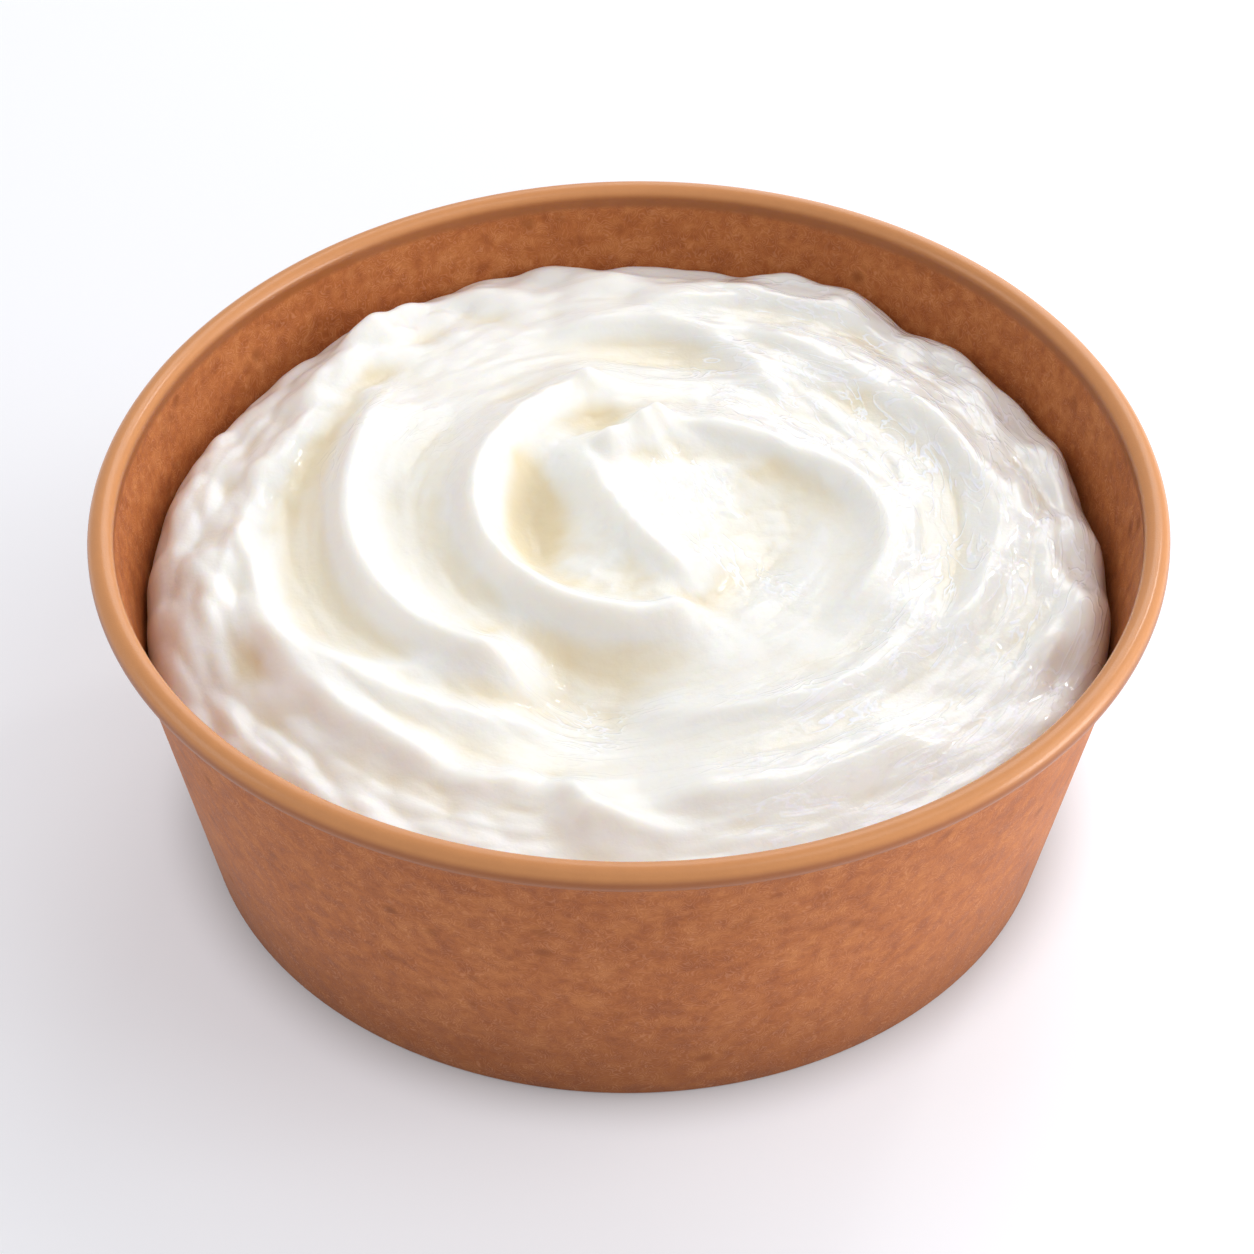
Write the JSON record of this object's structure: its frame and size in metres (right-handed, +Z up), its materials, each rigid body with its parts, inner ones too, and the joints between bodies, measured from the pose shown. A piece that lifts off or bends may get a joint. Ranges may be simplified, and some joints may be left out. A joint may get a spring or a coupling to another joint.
{
  "type": "bowl of yogurt",
  "caption": "Round tapered kraft paper bowl with a rolled rim, filled with thick plain yogurt whose top is stirred into curved ridges around a small off-centre peak.",
  "frame": {"origin": "on the surface that the bowl stands on, under the middle of the bowl's box", "axes": "+Z up through the open top; -Y towards the viewer of the picture; +X to the viewer's right"},
  "size_m": [0.1476, 0.1524, 0.0556],
  "materials": {
    "kraft_paper": "matte",
    "yogurt": "gloss"
  },
  "bodies": {
    "root": {"paper_bowl": "kraft_paper", "yogurt": "yogurt"}
  },
  "joints": []
}
